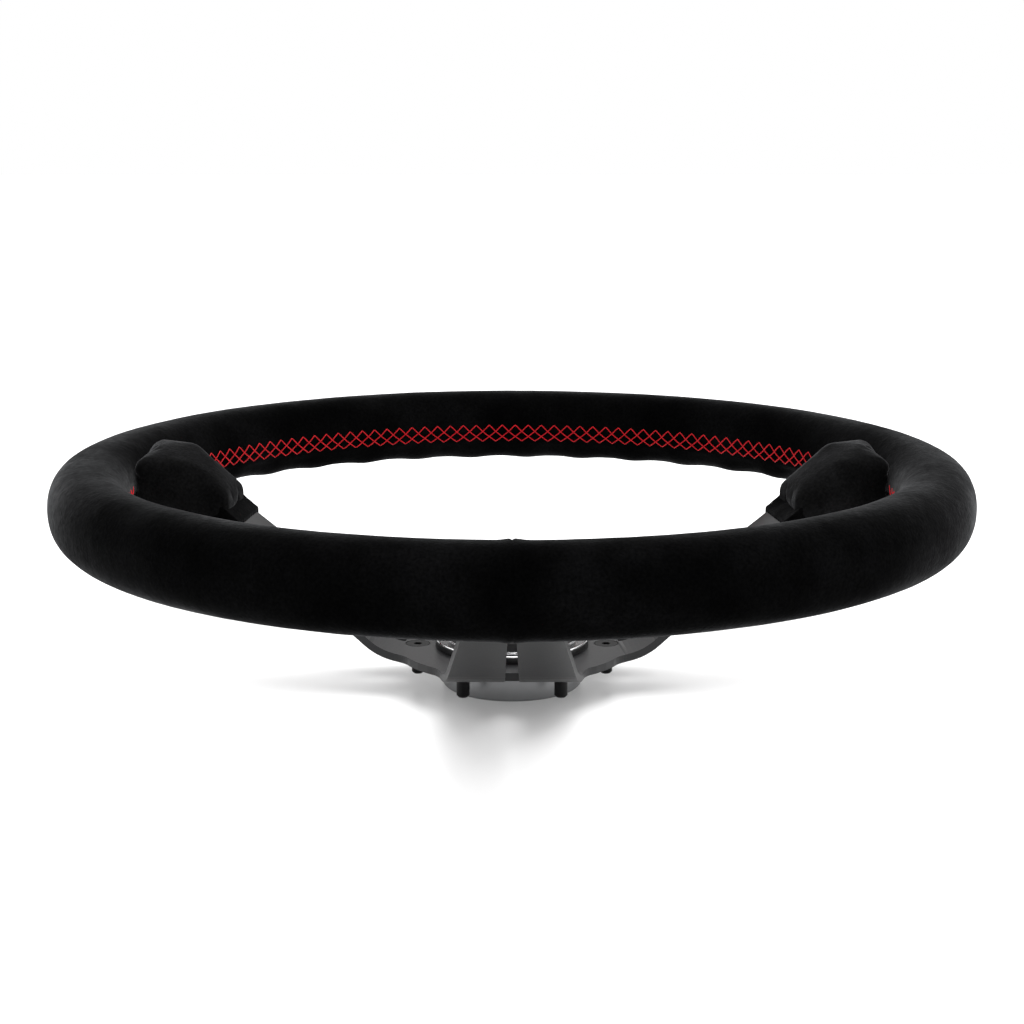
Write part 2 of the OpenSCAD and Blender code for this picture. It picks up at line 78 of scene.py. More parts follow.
class Nodes:
    """A short way to build a material's node tree."""

    def __init__(self, name: str) -> None:
        """Starts a material with a Principled shader.

        Args:
            name: The material's name.
        """
        self.material = bpy.data.materials.new(name)
        self.material.use_nodes = True
        self.tree = self.material.node_tree
        self.shader = self.tree.nodes["Principled BSDF"]
        self.coords = self.tree.nodes.new("ShaderNodeTexCoord")

    def set(self, **values: float | tuple[float, ...]) -> None:
        """Sets constants on the shader's own sockets.

        Args:
            **values: Socket names, with underscores for spaces, and their values.
        """
        for name, value in values.items():
            self.shader.inputs[name.replace("_", " ")].default_value = value

    def add(self, kind: str, **values: object) -> bpy.types.Node:
        """Adds a node and sets its options and sockets.

        Args:
            kind: The node's type, without the ShaderNode prefix.
            **values: Options of the node, or names of its input sockets.

        Returns:
            The new node.
        """
        node = self.tree.nodes.new("ShaderNode" + kind)
        for name, value in values.items():
            if hasattr(node, name):
                setattr(node, name, value)
            else:
                node.inputs[name.replace("_", " ")].default_value = value
        return node

    def link(self, source: bpy.types.NodeSocket, target: bpy.types.NodeSocket) -> None:
        """Joins two sockets.

        Args:
            source: The output socket.
            target: The input socket.
        """
        self.tree.links.new(source, target)

    def noise(self, scale: float, detail: float = 3.0, stretch: Colour = (1, 1, 1)) -> bpy.types.NodeSocket:
        """Adds noise in the object's own coordinates.

        Args:
            scale: Cells per metre.
            detail: Octaves of finer noise.
            stretch: How much the coordinates are multiplied along each axis.

        Returns:
            The noise's factor.
        """
        place = self.add("Mapping")
        place.inputs["Scale"].default_value = stretch
        self.link(self.coords.outputs["Object"], place.inputs["Vector"])
        cloud = self.add("TexNoise", Scale=scale, Detail=detail)
        self.link(place.outputs["Vector"], cloud.inputs["Vector"])
        return cloud.outputs["Fac"]

    def ramp(self, factor: bpy.types.NodeSocket,
             stops: Sequence[tuple[float, Colour]]) -> bpy.types.NodeSocket:
        """Maps a factor to colours.

        Args:
            factor: What drives the ramp.
            stops: Positions and colours, in order.

        Returns:
            The ramp's colour.
        """
        node = self.add("ValToRGB")
        elements = node.color_ramp.elements
        while len(elements) < len(stops):
            elements.new(0.5)
        for element, (position, colour) in zip(elements, stops):
            element.position = position
            element.color = (*colour, 1)
        self.link(factor, node.inputs["Fac"])
        return node.outputs["Color"]

    def spread(self, factor: bpy.types.NodeSocket, low: float, high: float) -> bpy.types.NodeSocket:
        """Maps a factor from 0..1 to another range.

        Args:
            factor: What to map.
            low: The result at 0.
            high: The result at 1.

        Returns:
            The mapped value.
        """
        node = self.add("MapRange")
        node.inputs["To Min"].default_value = low
        node.inputs["To Max"].default_value = high
        self.link(factor, node.inputs["Value"])
        return node.outputs["Result"]

    def bumps(self, *layers: tuple[bpy.types.NodeSocket, float, float]) -> None:
        """Stacks bump layers on the shader's normal.

        Args:
            *layers: A height, its strength and its depth in metres, for each layer.
        """
        normal = None
        for height, strength, depth in layers:
            bump = self.add("Bump", Strength=strength, Distance=depth)
            self.link(height, bump.inputs["Height"])
            if normal is not None:
                self.link(normal, bump.inputs["Normal"])
            normal = bump.outputs["Normal"]
        self.link(normal, self.shader.inputs["Normal"])


@dataclass(frozen=True)
class Suede:
    """Black brushed suede: a nap that catches light at grazing angles, with strokes and rubbed places."""

    name: str = "black_suede"
    shade: float = 0.0016
    sheen: float = 0.11
    tint: Colour = (0.92, 0.93, 0.96)
    stroke_scale: float = 38
    brush_scale: float = 26
    nap_scale: float = 950
    fuzz_scale: float = 420
    wrinkle_scale: float = 60
    pile_scale: float = 2600

    def make(self) -> bpy.types.Material:
        """Builds the suede.

        Returns:
            The material.
        """
        n = Nodes(self.name)
        n.set(Roughness=0.95, Specular_IOR_Level=0.0, Sheen_Roughness=0.28)
        n.set(Sheen_Tint=(*self.tint, 1))
        strokes = n.noise(self.stroke_scale, 4)
        nap = n.noise(self.nap_scale, 3)
        s = self.shade
        cloud = n.ramp(strokes, [(0.34, (s * 0.55, s * 0.55, s * 0.57)), (0.52, (s, s, s * 1.03)),
                                 (0.72, (s * 1.9, s * 1.9, s * 2.0))])
        fibre = n.ramp(nap, [(0.3, (0.55, 0.55, 0.55)), (0.75, (1.5, 1.5, 1.5))])
        mix = n.add("Mix", data_type="RGBA", blend_type="MULTIPLY")
        mix.inputs[0].default_value = 0.8
        n.link(cloud, mix.inputs[6])
        n.link(fibre, mix.inputs[7])
        n.link(mix.outputs[2], n.shader.inputs["Base Color"])
        n.link(n.spread(strokes, 0.86, 1.0), n.shader.inputs["Roughness"])
        brushed = n.noise(self.brush_scale, 5)
        fuzz = n.noise(self.fuzz_scale, 3)
        amount = n.add("Math", operation="MULTIPLY")
        n.link(n.spread(brushed, -0.7 * self.sheen, 2.7 * self.sheen), amount.inputs[0])
        n.link(n.spread(fuzz, 0.3, 1.7), amount.inputs[1])
        n.link(amount.outputs[0], n.shader.inputs["Sheen Weight"])
        wrinkles = (n.noise(self.wrinkle_scale, 3), 0.3, 0.7 * MM)
        pile = (n.noise(self.pile_scale, 2), 0.4, 0.1 * MM)
        n.bumps(wrinkles, (nap, 0.5, 0.25 * MM), pile)
        return n.material


@dataclass(frozen=True)
class Thread:
    """Waxed red sewing thread."""

    name: str = "red_thread"
    colour: Colour = (0.5, 0.004, 0.009)
    twist_scale: float = 1500
    twist_depth: float = 0.15 * MM

    def make(self) -> bpy.types.Material:
        """Builds the thread.

        Returns:
            The material.
        """
        n = Nodes(self.name)
        n.set(Roughness=0.6, Sheen_Weight=0.04, Sheen_Roughness=0.4, Specular_IOR_Level=0.12)
        r, g, b = self.colour
        twist = n.noise(self.twist_scale, 2)
        tone = n.ramp(twist, [(0.3, (r * 0.6, g * 0.6, b * 0.6)), (0.7, (r, g * 1.4, b * 1.4))])
        n.link(tone, n.shader.inputs["Base Color"])
        n.link(n.spread(twist, 0.45, 0.7), n.shader.inputs["Roughness"])
        n.bumps((twist, 0.6, self.twist_depth))
        return n.material


@dataclass(frozen=True)
class SatinMetal:
    """Anodised, turned or drawn metal, with a fine grain and slightly uneven gloss."""

    name: str
    colour: Colour
    roughness: float = 0.38
    metallic: float = 0.85
    grain: Colour = (1, 1, 1)
    grain_scale: float = 1400
    grain_depth: float = 0.03 * MM
    specular: float = 0.5
    cloud_scale: float = 22
    dent_scale: float = 90
    dent_depth: float = 0.2 * MM
    unevenness: float = 0.05

    def make(self) -> bpy.types.Material:
        """Builds the metal.

        Returns:
            The material.
        """
        n = Nodes(self.name)
        n.set(Metallic=self.metallic, Specular_IOR_Level=self.specular)
        r, g, b = self.colour
        cloud = n.noise(self.cloud_scale, 4)
        grain = n.noise(self.grain_scale, 3, self.grain)
        tone = n.ramp(cloud, [(0.3, (r * 0.88, g * 0.88, b * 0.88)), (0.7, (r * 1.1, g * 1.1, b * 1.1))])
        n.link(tone, n.shader.inputs["Base Color"])
        rough = n.add("Math", operation="ADD")
        low, high = self.roughness - self.unevenness, self.roughness + self.unevenness
        n.link(n.spread(cloud, low, high), rough.inputs[0])
        n.link(n.spread(grain, -self.unevenness, self.unevenness), rough.inputs[1])
        n.link(rough.outputs[0], n.shader.inputs["Roughness"])
        n.bumps((grain, 0.35, self.grain_depth), (n.noise(self.dent_scale, 2), 0.1, self.dent_depth))
        return n.material


@dataclass(frozen=True)
class Moulded:
    """Moulded plastic, foam or rubber, with an etched grain."""

    name: str
    shade: float
    roughness: float = 0.55
    grain_scale: float = 1800
    grain_depth: float = 0.06 * MM
    cloud_scale: float = 45
    unevenness: float = 0.06

    def make(self) -> bpy.types.Material:
        """Builds the plastic.

        Returns:
            The material.
        """
        n = Nodes(self.name)
        n.set(Specular_IOR_Level=0.4)
        s = self.shade
        cloud = n.noise(self.cloud_scale, 3)
        grain = n.noise(self.grain_scale, 2)
        tone = n.ramp(cloud, [(0.3, (s * 0.8,) * 3), (0.7, (s * 1.25,) * 3)])
        n.link(tone, n.shader.inputs["Base Color"])
        low, high = self.roughness - self.unevenness, self.roughness + self.unevenness
        n.link(n.spread(cloud, low, high), n.shader.inputs["Roughness"])
        n.bumps((grain, 0.5, self.grain_depth))
        return n.material


class Finish(Enum):
    """Every finish on the wheel, each built once."""

    SUEDE = Suede()
    # Painted light: a lighter copy of the black suede for the thumb rests, its base colour about three
    # times paler and its sheen raised, so the pads read as more brightly lit.
    PAINTED_LIGHT_SUEDE = Suede("painted_light_suede", 0.0045, 0.17)
    THREAD = Thread()
    PLATE = SatinMetal("dark_anodised_plate", (0.012, 0.0122, 0.013), 0.36, 0.1, specular=0.26)
    COLLAR = SatinMetal("grey_anodised_collar", (0.21, 0.213, 0.217), 0.4, 0.85, grain=(0.2, 0.2, 14))
    HOUSING = SatinMetal("black_anodised", (0.008, 0.008, 0.0085), 0.36, 0.1)
    SCREW = SatinMetal("black_oxide", (0.004, 0.004, 0.0043), 0.42, 0.0, specular=0.1)
    STEEL = SatinMetal("turned_steel", (0.5, 0.5, 0.52), 0.28, 1.0, grain=(0.2, 0.2, 14))
    WIRE = SatinMetal("drawn_wire", (0.42, 0.42, 0.43), 0.3, 1.0)
    POLISHED = SatinMetal("polished_metal", (0.8, 0.8, 0.81), 0.14, 1.0, grain_depth=0.01 * MM)
    BRASS = SatinMetal("stamped_brass", (0.72, 0.52, 0.22), 0.3, 1.0)
    CAP = Moulded("black_plastic", 0.012, 0.42)
    FOAM = Moulded("black_foam", 0.02, 0.8, 700, 0.2 * MM)

    @property
    def material(self) -> bpy.types.Material:
        """The finish's material, built on first use."""
        found = bpy.data.materials.get(self.value.name)
        return found or self.value.make()


# ---------------------------------------------------------------- mesh helpers


def mesh_piece(name: str, points: Iterable[Sequence[float]],
               faces: Iterable[Sequence[int]]) -> bpy.types.Object:
    """Makes a smooth-shaded mesh object.

    Args:
        name: The piece's name.
        points: The vertices, in metres.
        faces: The faces, as vertex numbers.

    Returns:
        The new object, linked to the scene.
    """
    mesh = bpy.data.meshes.new(name)
    mesh.from_pydata([tuple(p) for p in points], [], [tuple(f) for f in faces])
    mesh.validate()
    piece = bpy.data.objects.new(name, mesh)
    bpy.context.scene.collection.objects.link(piece)
    smooth(piece)
    return piece


def loop_faces(rows: int, columns: int, first: int = 0,
               closed: bool = True) -> list[tuple[int, int, int, int]]:
    """Lists the quads of a grid whose columns close up, and whose rows may.

    Args:
        rows: Number of rows.
        columns: Number of points in a row.
        first: The grid's first vertex number.
        closed: Whether the last row joins the first.

    Returns:
        The quads.
    """
    faces = []
    for i in range(rows if closed else rows - 1):
        j = (i + 1) % rows
        for k in range(columns):
            m = (k + 1) % columns
            faces.append((first + i * columns + k, first + j * columns + k,
                          first + j * columns + m, first + i * columns + m))
    return faces


def apply_modifiers(piece: bpy.types.Object) -> None:
    """Turns a piece into what its modifiers make of it.

    Args:
        piece: A mesh object of this script's own.
    """
    graph = bpy.context.evaluated_depsgraph_get()
    result = bpy.data.meshes.new_from_object(piece.evaluated_get(graph))
    piece.modifiers.clear()
    piece.data = result


def smooth(piece: bpy.types.Object) -> None:
    """Shades every face of a piece smooth.

    Args:
        piece: A mesh object of this script's own.
    """
    piece.data.polygons.foreach_set("use_smooth", [True] * len(piece.data.polygons))


def coordinates(piece: bpy.types.Object) -> np.ndarray:
    """Reads a mesh's vertices.

    Args:
        piece: A mesh object.

    Returns:
        An array with one row for each vertex.
    """
    points = np.empty(len(piece.data.vertices) * 3)
    piece.data.vertices.foreach_get("co", points)
    return points.reshape(-1, 3)


def normals(piece: bpy.types.Object) -> np.ndarray:
    """Reads a mesh's vertex normals.

    Args:
        piece: A mesh object.

    Returns:
        An array with one row for each vertex.
    """
    found = np.empty(len(piece.data.vertices) * 3)
    piece.data.vertices.foreach_get("normal", found)
    return found.reshape(-1, 3)


def move_to(piece: bpy.types.Object, points: np.ndarray) -> None:
    """Writes a mesh's vertices.

    Args:
        piece: A mesh object of this script's own.
        points: The new places, one row for each vertex.
    """
    piece.data.vertices.foreach_set("co", points.ravel())
    piece.data.update()


def bell(distance: np.ndarray | float, width: float) -> np.ndarray | float:
    """Falls from 1 to 0 on both sides of a line.

    Args:
        distance: How far a point is from the line.
        width: The distance at which it has fallen to about a third.

    Returns:
        The value, or one for each point.
    """
    return np.exp(-(np.asarray(distance) / width) ** 2)


def step(value: float, low: float, high: float) -> float:
    """Rises smoothly from 0 at low to 1 at high.

    Args:
        value: Where to read it.
        low: Where it starts.
        high: Where it ends.

    Returns:
        The height, from 0 to 1.
    """
    t = min(max((value - low) / (high - low), 0.0), 1.0)
    return t * t * (3 - 2 * t)


def wrap_angle(angle: float) -> float:
    """Brings an angle to between minus half a turn and half a turn.

    Args:
        angle: In radians.

    Returns:
        The same direction, in radians.
    """
    return (angle + math.pi) % (2 * math.pi) - math.pi


def both_ways(steps: Sequence[float]) -> list[float]:
    """Mirrors a list of steps that starts with 0.

    Args:
        steps: Distances from a line, from 0 outwards.

    Returns:
        The distances on both sides, in order.
    """
    return [-d for d in reversed(steps[1:])] + list(steps)


# ---------------------------------------------------------------- the rim


@dataclass
class Rim:
    """The grip: a ring of suede over foam, with finger grooves behind and a butt joint at 6 o'clock."""

    squareness: float = 2.25
    groove_pitch: float = 26 * MM
    groove_depth: float = 0.9 * MM
    spoke_turn: float = math.radians(7)
    groove_phi: float = math.radians(223)
    seam_tilt: float = math.radians(7)
    seam_depth: float = 0.55 * MM
    seam_width: float = 0.75 * MM
    ridge_height: float = 0.22 * MM
    ridge_width: float = 1.6 * MM
    row_offset: float = 3.2 * MM
    joint_depth: float = 0.45 * MM
    joint_width: float = 0.6 * MM
    joint_swell: float = 0.55 * MM
    joint_spread: float = 3.2 * MM
    unevenness: float = 0.16 * MM
    crease: float = 0.05 * MM
    stations: int = 800
    section_points: int = 72
    ring_r: float = field(init=False)
    half_w: float = field(init=False)
    half_h: float = field(init=False)
    centre_z: float = field(init=False)

    JOINT_MM: ClassVar[tuple[float, ...]] = (0, 0.3, 0.6, 0.9, 1.3, 2, 3, 4)
    SEAM_DEGREES: ClassVar[tuple[float, ...]] = (0, 0.8, 1.7, 2.6, 3.6, 5, 7, 10)

    def __post_init__(self) -> None:
        """Takes the ring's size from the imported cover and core."""
        low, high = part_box("rim_cover")
        core_low, core_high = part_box("rim_core")
        core_r = (core_high[2] - core_low[2]) / 2
        self.ring_r = core_high[0] - core_r
        self.half_w = high[0] - self.ring_r
        self.half_h = (high[2] - low[2]) / 2
        self.centre_z = (high[2] + low[2]) / 2

    @property
    def seam_angle(self) -> float:
        """Where the sewn seam lies on the section, counted from its outer side."""
        return math.pi + self.seam_tilt

    @property
    def spoke_angles(self) -> tuple[float, float, float]:
        """Where the spokes meet the rim, as angles round the wheel."""
        return (self.spoke_turn, math.pi - self.spoke_turn, -math.pi / 2)

    def section(self, phi: float) -> tuple[float, float, float, float]:
        """Gives a point of the plain section and its normal.

        Args:
            phi: Angle on the section: 0 outside, a quarter turn on top, half a turn inside.

        Returns:
            The point's radius and height from the ring's centre line, and the normal's two parts.
        """
        c, s = math.cos(phi), math.sin(phi)
        power = 2 / self.squareness
        x = self.half_w * math.copysign(abs(c) ** power, c)
        z = self.half_h * math.copysign(abs(s) ** power, s)
        nx = math.copysign(abs(c) ** (2 - power), c) / self.half_w
        nz = math.copysign(abs(s) ** (2 - power), s) / self.half_h
        length = math.hypot(nx, nz)
        return x, z, nx / length, nz / length

    def place(self, theta: float, phi: float, lift: float = 0.0) -> Vector:
        """Gives a point on or above the plain rim.

        Args:
            theta: Angle round the wheel, from +X.
            phi: Angle on the section.
            lift: Distance above the surface.

        Returns:
            The point.
        """
        x, z, nx, nz = self.section(phi)
        r = self.ring_r + x + nx * lift
        return Vector((r * math.cos(theta), r * math.sin(theta), self.centre_z + z + nz * lift))

    def relief(self, theta: float, phi: float) -> float:
        """Gives how far the suede stands above the plain section.

        Args:
            theta: Angle round the wheel.
            phi: Angle on the section.

        Returns:
            The height, in metres.
        """
        count = round(2 * math.pi * self.ring_r / self.groove_pitch)
        wave = 0.5 - 0.5 * math.cos(theta * count)
        behind = step(math.cos(phi - self.groove_phi), 0.35, 0.95)
        away = min(abs(wrap_angle(theta - a)) for a in self.spoke_angles)
        open_rim = step(away, math.radians(7), math.radians(15))
        below_seam = step(abs(wrap_angle(phi - self.seam_angle)) * self.half_w, 3 * MM, 7 * MM)
        height = -self.groove_depth * (1 - wave ** 1.4) * behind * open_rim * below_seam
        across = abs(wrap_angle(phi - self.seam_angle)) * self.half_w
        height -= self.seam_depth * float(bell(across, self.seam_width))
        height += self.ridge_height * float(bell(across - self.row_offset, self.ridge_width))
        joint = abs(wrap_angle(theta + math.pi / 2)) * self.ring_r
        swell = self.joint_swell * float(bell(joint, self.joint_spread))
        height += swell - self.joint_depth * float(bell(joint, self.joint_width))
        spot = self.place(theta, phi)
        return height + self.unevenness * noise.noise(spot * 32) + self.crease * noise.noise(spot * 160)

    def build(self) -> bpy.types.Object:
        """Makes the cover.

        Returns:
            The rim cover.
        """
        turn = 2 * math.pi
        even = [turn * i / self.stations - math.pi / 2 for i in range(self.stations)]
        thetas = [-math.pi / 2 + d * MM / self.ring_r for d in both_ways(self.JOINT_MM)]
        thetas += [t for t in even if abs(wrap_angle(t + math.pi / 2)) > 4.6 * MM / self.ring_r]
        thetas.sort(key=lambda t: t % turn)
        coarse = [turn * k / self.section_points for k in range(self.section_points)]
        phis = [self.seam_angle + math.radians(d) for d in both_ways(self.SEAM_DEGREES)]
        phis += [p for p in coarse if abs(wrap_angle(p - self.seam_angle)) > math.radians(12)]
        phis.sort(key=lambda p: p % turn)
        points = [self.place(t, p, self.relief(t, p)) for t in thetas for p in phis]
        cover = mesh_piece("suede_rim_cover", points, loop_faces(len(thetas), len(phis)))
        cover.data.materials.append(Finish.SUEDE.material)
        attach(cover, "wheel")
        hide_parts("rim_cover")
        return cover


@dataclass
class CrossStitch:
    """Two rows of holes laced with red thread, each stitch leaning one and a half pitches."""

    rim: Rim
    pitch: float = 6.0 * MM
    width: float = 6.0 * MM
    thread_r: float = 0.26 * MM
    lean: float = 1.5
    weave: float = 0.16 * MM
    deepest: float = 0.1 * MM
    spoke_half: float = 16.5 * MM
    sides: int = 6
    stations: int = 11

    def hidden(self, theta: float) -> bool:
        """Tells whether a thumb rest or the lower boot covers the seam.

        Args:
            theta: Angle round the wheel.

        Returns:
            True where no thread is seen.
        """
        away = min(abs(wrap_angle(theta - a)) for a in self.rim.spoke_angles)
        return away * self.rim.ring_r < self.spoke_half

    def strand(self, start: float, end: float, over: int) -> list[Vector]:
        """Lays one stitch between its two holes.

        Args:
            start: Angle of the hole in the upper row.
            end: Angle of the hole in the lower row.
            over: 1 where the stitch lies over its neighbours, -1 where it dips under.

        Returns:
            Points along the stitch.
        """
        points = []
        for i in range(self.stations):
            t = i / (self.stations - 1)
            across = (0.5 - t) * self.width / self.rim.half_w
            arch = math.sin(math.pi * t) ** 0.6
            weave = self.weave * over * math.sin(3 * math.pi * t)
            theta = start + (end - start) * t
            phi = self.rim.seam_angle - across
            bed = self.rim.relief(theta, phi)
            lift = max(bed, -self.deepest) + self.thread_r * (1.5 * arch - 0.7) + weave * arch
            points.append(self.rim.place(theta, phi, lift))
        return points

    def build(self) -> bpy.types.Object:
        """Sews the whole seam.

        Returns:
            The stitching, as one mesh.
        """
        seam_r = self.rim.ring_r - self.rim.half_w
        count = round(2 * math.pi * seam_r / self.pitch)
        turn = 2 * math.pi / count
        points: list[Vector] = []
        faces: list[tuple[int, ...]] = []
        for i in range(count):
            for way in (-1, 1):
                start = i * turn
                end = start + way * self.lean * turn
                if self.hidden(start) or self.hidden(end):
                    continue
                self.tube(self.strand(start, end, way), points, faces)
        stitches = mesh_piece("cross_stitching", points, faces)
        stitches.data.materials.append(Finish.THREAD.material)
        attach(stitches, "wheel")
        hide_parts("seam_stitching")
        return stitches

    def tube(self, path: list[Vector], points: list[Vector], faces: list[tuple[int, ...]]) -> None:
        """Adds a round thread along a path to a growing mesh.

        Args:
            path: The thread's middle line.
            points: The mesh's vertices so far.
            faces: The mesh's faces so far.
        """
        first = len(points)
        for i, spot in enumerate(path):
            along = (path[min(i + 1, len(path) - 1)] - path[max(i - 1, 0)]).normalized()
            outward = Vector((-spot.x, -spot.y, 0)).normalized()
            side = along.cross(outward).normalized()
            outward = side.cross(along)
            for k in range(self.sides):
                a = 2 * math.pi * k / self.sides
                points.append(spot + self.thread_r * (math.cos(a) * outward + math.sin(a) * side))
        faces += loop_faces(len(path), self.sides, first, closed=False)
        faces.append(tuple(first + k for k in range(self.sides)))
        last = first + (len(path) - 1) * self.sides
        faces.append(tuple(last + k for k in reversed(range(self.sides))))


# ---------------------------------------------------------------- padded and sewn pieces


class Side(Enum):
    """The spoke that a soft piece belongs to."""

    LEFT = "left"
    RIGHT = "right"
    LOWER = "lower"


def filled(source: bpy.types.Mesh) -> bpy.types.Mesh:
    """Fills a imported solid's hollows, because its walls beside them are too thin for an even mesh.

    Args:
        source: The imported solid's mesh.

    Returns:
        The solid's convex hull.
    """
    form = bmesh.new()
    for vertex in source.vertices:
        form.verts.new(vertex.co)
    inner = bmesh.ops.convex_hull(form, input=form.verts)["geom_interior"]
    bmesh.ops.delete(form, geom=[v for v in inner if isinstance(v, bmesh.types.BMVert)], context="VERTS")
    hull = bpy.data.meshes.new(source.name)
    form.to_mesh(hull)
    form.free()
    return hull


def soft_copy(node: str, name: str, voxel: float, rounds: int, whole: bool = False) -> bpy.types.Object:
    """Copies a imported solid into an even, rounded mesh of this script's own.

    Args:
        node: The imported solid.
        name: The new piece's name.
        voxel: Size of the new mesh's faces.
        rounds: How many times the corners are smoothed.
        whole: True to fill the solid's hollows.

    Returns:
        The new piece.
    """
    source = bpy.data.objects[node].data
    piece = bpy.data.objects.new(name, filled(source) if whole else source.copy())
    bpy.context.scene.collection.objects.link(piece)
    piece.data.materials.clear()
    remesh = piece.modifiers.new("even", "REMESH")
    remesh.mode = "VOXEL"
    remesh.voxel_size = voxel
    apply_modifiers(piece)
    relax = piece.modifiers.new("relax", "SMOOTH")
    relax.factor = 0.5
    relax.iterations = rounds
    apply_modifiers(piece)
    smooth(piece)
    return piece


@dataclass
class ThumbRest:
    """A suede pad stuffed over a side spoke, sewn along its flank."""

    side: Side
    voxel: float = 1.1 * MM
    rounds: int = 6
    swell_limit: float = 1.1 * MM
    sim_scale: float = 12.0
    frames: int = 18
    pressure: float = 5.0
    stretch_stiffness: float = 25
    bending_stiffness: float = 3
    seam_drop: float = 9.5 * MM
    seam_slope: float = 0.62
    seam_width: float = 0.9 * MM
    seam_depth: float = 0.7 * MM
    pucker_reach: float = 4 * MM
    pucker_height: float = 0.25 * MM
    pucker_scale: float = 210
    lump_height: float = 0.3 * MM
    lump_scale: float = 55

    def build(self) -> bpy.types.Object:
        """Makes the pad.

        Returns:
            The pad.
        """
        node = f"{self.side.value}_thumb_rest"
        pad = soft_copy(node, f"suede_{node}", self.voxel, self.rounds, whole=True)
        self.stuff(pad)
        self.sew(pad)
        finer = pad.modifiers.new("finer", "SUBSURF")
        finer.levels = 1
        finer.render_levels = 1
        apply_modifiers(pad)
        smooth(pad)
        pad.data.materials.clear()
        # The pads wear the lighter copy of the suede: painted light, not a different leather.
        pad.data.materials.append(Finish.PAINTED_LIGHT_SUEDE.material)
        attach(pad, "wheel")
        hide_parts(node)
        return pad

    def stuff(self, pad: bpy.types.Object) -> None:
        """Fills the pad: a cloth simulation under pressure, whose swelling is capped.

        Args:
            pad: The pad, as an even mesh.
        """
        start = coordinates(pad)
        centre = start.mean(axis=0)
        move_to(pad, (start - centre) * self.sim_scale)
        cloth = pad.modifiers.new("stuffing", "CLOTH")
        cloth.settings.use_pressure = True
        cloth.settings.uniform_pressure_force = self.pressure
        cloth.settings.tension_stiffness = self.stretch_stiffness
        cloth.settings.compression_stiffness = self.stretch_stiffness
        cloth.settings.bending_stiffness = self.bending_stiffness
        cloth.settings.effector_weights.gravity = 0
        cloth.point_cache.frame_start = 1
        cloth.point_cache.frame_end = self.frames
        scene = bpy.context.scene
        for frame in range(1, self.frames + 1):
            scene.frame_set(frame)
        apply_modifiers(pad)
        scene.frame_set(1)
        moved = coordinates(pad) / self.sim_scale + centre
        shift = moved - start
        length = np.linalg.norm(shift, axis=1, keepdims=True)
        shift *= np.minimum(1.0, self.swell_limit / np.maximum(length, 1e-9))
        move_to(pad, start + shift)
        LOG.info("stuffed %s: it moved %.2f mm at most before the cap", pad.name, length.max() / MM)

    def sew(self, pad: bpy.types.Object) -> None:
        """Pulls the flank in along the seam and lets the suede pucker beside it.

        Args:
            pad: The pad, as an even mesh.
        """
        points = coordinates(pad)
        outward = normals(pad)
        inward = np.abs(points[:, 0])
        top = points[:, 2].max()
        seam_z = top - self.seam_drop - (inward.max() - inward) * self.seam_slope
        gap = points[:, 2] - seam_z
        flank = 1 - np.abs(outward[:, 2]) ** 2
        groove = bell(gap, self.seam_width) * flank
        pucker = np.array([noise.noise(Vector(p) * self.pucker_scale) for p in points])
        wave = bell(gap, self.pucker_reach) * pucker * self.pucker_height
        broad = np.array([noise.noise(Vector(p) * self.lump_scale) for p in points]) * self.lump_height
        move_to(pad, points + outward * (wave + broad - self.seam_depth * groove)[:, None])


@dataclass
class SpokeBoot:
    """The short suede sleeve where a spoke leaves its pad or the rim."""

    side: Side
    voxel: float = 0.36 * MM
    rounds: int = 3
    fray: float = 0.22 * MM
    fray_scale: float = 120
    swell: float = 0.12 * MM

    def build(self) -> bpy.types.Object:
        """Makes the sleeve.

        Returns:
            The sleeve.
        """
        node = f"{self.side.value}_spoke_boot"
        boot = soft_copy(node, f"suede_{node}", self.voxel, self.rounds)
        points = coordinates(boot)
        drift = np.array([noise.noise(Vector(p) * self.fray_scale) for p in points])
        move_to(boot, points + normals(boot) * (self.swell + drift * self.fray)[:, None])
        boot.data.materials.clear()
        boot.data.materials.append(Finish.SUEDE.material)
        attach(boot, "wheel")
        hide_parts(node)
        return boot


# ---------------------------------------------------------------- metal and plastic parts


def dress(node: str, finish: Finish, edge: float = 0.0) -> None:
    """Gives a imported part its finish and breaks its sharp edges.

    Args:
        node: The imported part.
        finish: Its finish.
        edge: Width of the broken edges, or 0 to leave them sharp.
    """
    part = bpy.data.objects[node]
    if not part.material_slots:
        part.data.materials.append(finish.material)
    for slot in part.material_slots:
        slot.material = finish.material
    if edge > 0:
        merge = part.modifiers.new("merge_facets", "WELD")
        merge.merge_threshold = SAME_PLACE
        flat = part.modifiers.new("flat_faces", "DECIMATE")
        flat.decimate_type = "DISSOLVE"
        flat.angle_limit = FLAT_ANGLE
        bevel = part.modifiers.new("broken_edge", "BEVEL")
        bevel.width = edge
        bevel.segments = 3
        bevel.limit_method = "ANGLE"
        bevel.angle_limit = SHARP_ANGLE
        bevel.harden_normals = True
    LOG.info("dressed %s", node)


@dataclass
class SpokeFrame:
    """The pressed aluminium plate with its three slotted spokes."""

    edge: float = 0.7 * MM

    def dress(self) -> None:
        """Gives the plate its anodised finish and softened edges."""
        dress("spoke_frame", Finish.PLATE, self.edge)


@dataclass
class QuickRelease:
    """The housing, socket, collar, balls, springs and screws."""

    edge: float = 0.25 * MM
    balls: int = 6

    def dress(self) -> None:
        """Gives each part its finish."""
        dress("release_housing", Finish.HOUSING, self.edge)
        dress("housing_screws", Finish.SCREW, 0.1 * MM)
        dress("spindle_socket", Finish.STEEL, 0.15 * MM)
        dress("release_collar", Finish.COLLAR, self.edge)
        dress("wheel_screws", Finish.SCREW, 0.12 * MM)
        dress("collar_spring", Finish.WIRE)
        dress("snap_ring", Finish.WIRE, 0.1 * MM)
        for i in range(self.balls):
            dress(f"locking_ball_{i + 1}", Finish.POLISHED)


